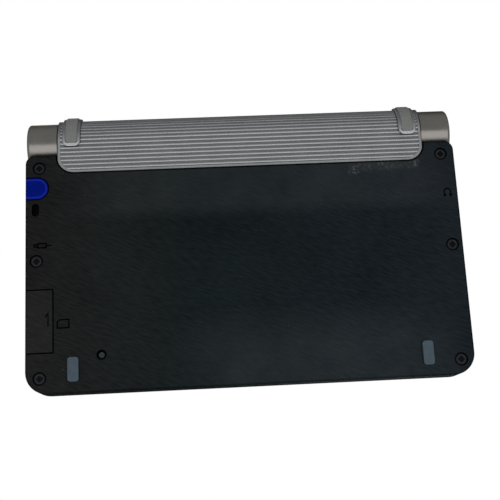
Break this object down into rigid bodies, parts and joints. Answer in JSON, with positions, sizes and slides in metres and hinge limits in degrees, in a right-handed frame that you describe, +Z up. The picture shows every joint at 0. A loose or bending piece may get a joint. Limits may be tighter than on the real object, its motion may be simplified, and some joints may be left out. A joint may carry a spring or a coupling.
{
  "type": "electronic dictionary",
  "caption": "Pocket electronic dictionary, closed: dark textured case, dark lid hinged on a ribbed silver battery barrel, stylus, card door, keys and screen inside.",
  "frame": {"origin": "on the table, in the middle of the footprint of the closed device", "axes": "+X to the user's right along the hinge barrel, +Y back towards the hinge, +Z up, away from the feet"},
  "size_m": [0.148, 0.0972, 0.0199],
  "materials": {
    "case_plastic": "finely textured, near black",
    "deck_plastic": "satin, near black",
    "lid_plastic": "satin black paint",
    "silver_plastic": "satin metallic paint, silver grey",
    "ribbed_plastic": "satin metallic paint over round ribs",
    "blue_plastic": "glossy deep blue",
    "key_plastic": "satin light grey",
    "ring_plastic": "satin silver",
    "strip_rubber": "moulded elastomer",
    "foot_rubber": "matt blue-grey",
    "pad_rubber": "matt grey",
    "bumper_rubber": "matt black",
    "membrane_rubber": "matt pale",
    "black_steel": "blackened",
    "bright_steel": "plain",
    "port_plastic": "glossy black",
    "board_green": "solder mask",
    "chip_black": "moulded",
    "cell_sleeve": "printed sleeve, plain",
    "panel_grey": "display, switched off",
    "window_clear": "clear",
    "pad_glass": "smooth dark touch surface",
    "button_grey": "plain"
  },
  "bodies": {
    "base": {"bottom_cover": "case_plastic", "keyboard_deck": "deck_plastic", "main_board": "board_green", "board_chips": "chip_black", "key_membrane": "membrane_rubber", "case_screws": "black_steel", "front_feet": "foot_rubber", "battery_housing": "deck_plastic", "battery_contacts": "bright_steel", "battery_cells": "cell_sleeve", "usb_socket": "bright_steel", "earphone_jack": "port_plastic", "card_socket": "bright_steel", "speaker": "chip_black", "hinge_pins": "bright_steel", "function_keypad": "strip_rubber", "writing_pad": "pad_glass"},
    "battery_cover": {"battery_cover": "ribbed_plastic", "rear_feet": "pad_rubber"},
    "stylus": {"stylus_shaft": "blue_plastic", "stylus_cap": "blue_plastic"},
    "card_door": {"card_door": "case_plastic"},
    "reset_button": {"reset_button": "button_grey"},
    "lid": {"lid_shell": "lid_plastic", "hinge_caps": "silver_plastic", "screen_bezel": "deck_plastic", "lcd_panel": "panel_grey", "screen_window": "window_clear", "lid_bumpers": "bumper_rubber", "lid_screws": "black_steel"},
    "cursor_pad": {"cursor_pad": "ring_plastic"},
    "ok_key": {"ok_key": "ring_plastic"},
    "enter_key": {"enter_key": "key_plastic"},
    "back_key": {"back_key": "key_plastic"},
    "key_q": {"key_q": "key_plastic"},
    "key_w": {"key_w": "key_plastic"},
    "key_e": {"key_e": "key_plastic"},
    "key_r": {"key_r": "key_plastic"},
    "key_t": {"key_t": "key_plastic"},
    "key_y": {"key_y": "key_plastic"},
    "key_u": {"key_u": "key_plastic"},
    "key_i": {"key_i": "key_plastic"},
    "key_o": {"key_o": "key_plastic"},
    "key_p": {"key_p": "key_plastic"},
    "key_a": {"key_a": "key_plastic"},
    "key_s": {"key_s": "key_plastic"},
    "key_d": {"key_d": "key_plastic"},
    "key_f": {"key_f": "key_plastic"},
    "key_g": {"key_g": "key_plastic"},
    "key_h": {"key_h": "key_plastic"},
    "key_j": {"key_j": "key_plastic"},
    "key_k": {"key_k": "key_plastic"},
    "key_l": {"key_l": "key_plastic"},
    "key_z": {"key_z": "key_plastic"},
    "key_x": {"key_x": "key_plastic"},
    "key_c": {"key_c": "key_plastic"},
    "key_v": {"key_v": "key_plastic"},
    "key_b": {"key_b": "key_plastic"},
    "key_n": {"key_n": "key_plastic"},
    "key_m": {"key_m": "key_plastic"}
  },
  "joints": [
    {"name": "battery_cover_slide", "type": "slide", "parent": "base", "child": "battery_cover", "axis": [0, -1, 0], "range_m": [-0.025, 0]},
    {"name": "card_door_swing", "type": "hinge", "parent": "base", "child": "card_door", "pos_m": [0.0733, -0.0248, 0.0056], "axis": [0, -1, 0], "range_deg": [0, 100]},
    {"name": "lid_hinge", "type": "hinge", "parent": "base", "child": "lid", "pos_m": [0, 0.03808, 0.01055], "axis": [-1, 0, 0], "range_deg": [0, 180]},
    {"name": "reset_press", "type": "slide", "parent": "base", "child": "reset_button", "axis": [0, 0, 1], "range_m": [0, 0.0004], "stiffness_N_per_m": 400},
    {"name": "stylus_slide", "type": "slide", "parent": "base", "child": "stylus", "axis": [1, 0, 0], "range_m": [0, 0.095]},
    {"name": "travel_cursor_pad", "type": "slide", "parent": "base", "child": "cursor_pad", "axis": [0, 0, -1], "range_m": [0, 0.0008], "stiffness_N_per_m": 600},
    {"name": "travel_ok_key", "type": "slide", "parent": "base", "child": "ok_key", "axis": [0, 0, -1], "range_m": [0, 0.0008], "stiffness_N_per_m": 600},
    {"name": "travel_enter_key", "type": "slide", "parent": "base", "child": "enter_key", "axis": [0, 0, -1], "range_m": [0, 0.0008], "stiffness_N_per_m": 600},
    {"name": "travel_back_key", "type": "slide", "parent": "base", "child": "back_key", "axis": [0, 0, -1], "range_m": [0, 0.0008], "stiffness_N_per_m": 600},
    {"name": "travel_key_q", "type": "slide", "parent": "base", "child": "key_q", "axis": [0, 0, -1], "range_m": [0, 0.0008], "stiffness_N_per_m": 600},
    {"name": "travel_key_w", "type": "slide", "parent": "base", "child": "key_w", "axis": [0, 0, -1], "range_m": [0, 0.0008], "stiffness_N_per_m": 600},
    {"name": "travel_key_e", "type": "slide", "parent": "base", "child": "key_e", "axis": [0, 0, -1], "range_m": [0, 0.0008], "stiffness_N_per_m": 600},
    {"name": "travel_key_r", "type": "slide", "parent": "base", "child": "key_r", "axis": [0, 0, -1], "range_m": [0, 0.0008], "stiffness_N_per_m": 600},
    {"name": "travel_key_t", "type": "slide", "parent": "base", "child": "key_t", "axis": [0, 0, -1], "range_m": [0, 0.0008], "stiffness_N_per_m": 600},
    {"name": "travel_key_y", "type": "slide", "parent": "base", "child": "key_y", "axis": [0, 0, -1], "range_m": [0, 0.0008], "stiffness_N_per_m": 600},
    {"name": "travel_key_u", "type": "slide", "parent": "base", "child": "key_u", "axis": [0, 0, -1], "range_m": [0, 0.0008], "stiffness_N_per_m": 600},
    {"name": "travel_key_i", "type": "slide", "parent": "base", "child": "key_i", "axis": [0, 0, -1], "range_m": [0, 0.0008], "stiffness_N_per_m": 600},
    {"name": "travel_key_o", "type": "slide", "parent": "base", "child": "key_o", "axis": [0, 0, -1], "range_m": [0, 0.0008], "stiffness_N_per_m": 600},
    {"name": "travel_key_p", "type": "slide", "parent": "base", "child": "key_p", "axis": [0, 0, -1], "range_m": [0, 0.0008], "stiffness_N_per_m": 600},
    {"name": "travel_key_a", "type": "slide", "parent": "base", "child": "key_a", "axis": [0, 0, -1], "range_m": [0, 0.0008], "stiffness_N_per_m": 600},
    {"name": "travel_key_s", "type": "slide", "parent": "base", "child": "key_s", "axis": [0, 0, -1], "range_m": [0, 0.0008], "stiffness_N_per_m": 600},
    {"name": "travel_key_d", "type": "slide", "parent": "base", "child": "key_d", "axis": [0, 0, -1], "range_m": [0, 0.0008], "stiffness_N_per_m": 600},
    {"name": "travel_key_f", "type": "slide", "parent": "base", "child": "key_f", "axis": [0, 0, -1], "range_m": [0, 0.0008], "stiffness_N_per_m": 600},
    {"name": "travel_key_g", "type": "slide", "parent": "base", "child": "key_g", "axis": [0, 0, -1], "range_m": [0, 0.0008], "stiffness_N_per_m": 600},
    {"name": "travel_key_h", "type": "slide", "parent": "base", "child": "key_h", "axis": [0, 0, -1], "range_m": [0, 0.0008], "stiffness_N_per_m": 600},
    {"name": "travel_key_j", "type": "slide", "parent": "base", "child": "key_j", "axis": [0, 0, -1], "range_m": [0, 0.0008], "stiffness_N_per_m": 600},
    {"name": "travel_key_k", "type": "slide", "parent": "base", "child": "key_k", "axis": [0, 0, -1], "range_m": [0, 0.0008], "stiffness_N_per_m": 600},
    {"name": "travel_key_l", "type": "slide", "parent": "base", "child": "key_l", "axis": [0, 0, -1], "range_m": [0, 0.0008], "stiffness_N_per_m": 600},
    {"name": "travel_key_z", "type": "slide", "parent": "base", "child": "key_z", "axis": [0, 0, -1], "range_m": [0, 0.0008], "stiffness_N_per_m": 600},
    {"name": "travel_key_x", "type": "slide", "parent": "base", "child": "key_x", "axis": [0, 0, -1], "range_m": [0, 0.0008], "stiffness_N_per_m": 600},
    {"name": "travel_key_c", "type": "slide", "parent": "base", "child": "key_c", "axis": [0, 0, -1], "range_m": [0, 0.0008], "stiffness_N_per_m": 600},
    {"name": "travel_key_v", "type": "slide", "parent": "base", "child": "key_v", "axis": [0, 0, -1], "range_m": [0, 0.0008], "stiffness_N_per_m": 600},
    {"name": "travel_key_b", "type": "slide", "parent": "base", "child": "key_b", "axis": [0, 0, -1], "range_m": [0, 0.0008], "stiffness_N_per_m": 600},
    {"name": "travel_key_n", "type": "slide", "parent": "base", "child": "key_n", "axis": [0, 0, -1], "range_m": [0, 0.0008], "stiffness_N_per_m": 600},
    {"name": "travel_key_m", "type": "slide", "parent": "base", "child": "key_m", "axis": [0, 0, -1], "range_m": [0, 0.0008], "stiffness_N_per_m": 600}
  ]
}
